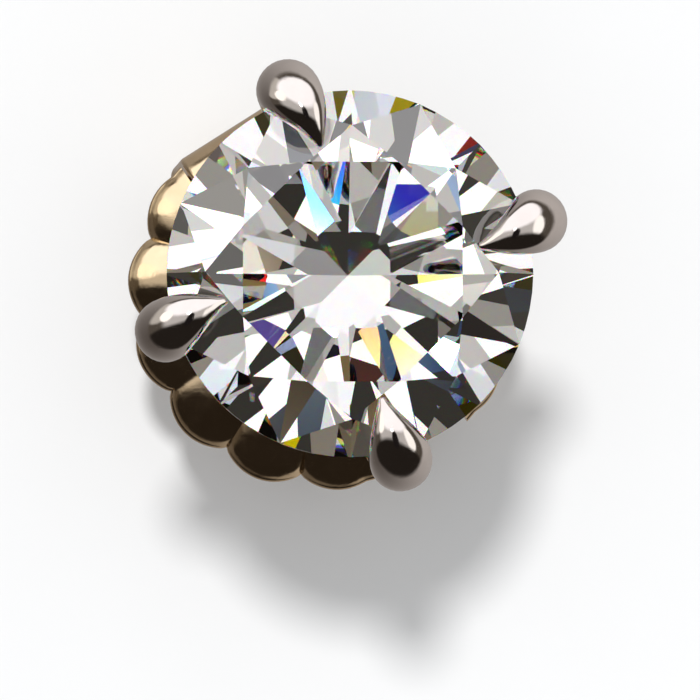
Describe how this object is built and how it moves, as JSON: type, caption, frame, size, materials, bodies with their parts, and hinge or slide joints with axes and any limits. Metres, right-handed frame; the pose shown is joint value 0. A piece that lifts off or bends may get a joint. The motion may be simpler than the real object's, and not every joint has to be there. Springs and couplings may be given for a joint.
{
  "type": "stud earring",
  "caption": "Round brilliant-cut stone in a claw basket on a notched post, with a butterfly friction nut whose fluted plate and scrolls it stands on.",
  "frame": {"origin": "on the post's axis, on the surface that the nut's two scrolls stand on", "axes": "+Z along the post, from the nut to the stone; +X and +Y across the stone, square to two opposite sides of its table each"},
  "size_m": [0.0076, 0.0077, 0.0129],
  "materials": {
    "stone": "polished facets",
    "white_metal": "polished white gold",
    "yellow_metal": "polished yellow gold"
  },
  "bodies": {
    "ear_nut": {"ear_nut": "yellow_metal"},
    "stud": {"stone": "stone", "claw_setting": "white_metal"}
  },
  "joints": [
    {"name": "nut_slide", "type": "slide", "parent": "ear_nut", "child": "stud", "axis": [0, 0, 1], "range_m": [-0.0042, 0.006]}
  ]
}
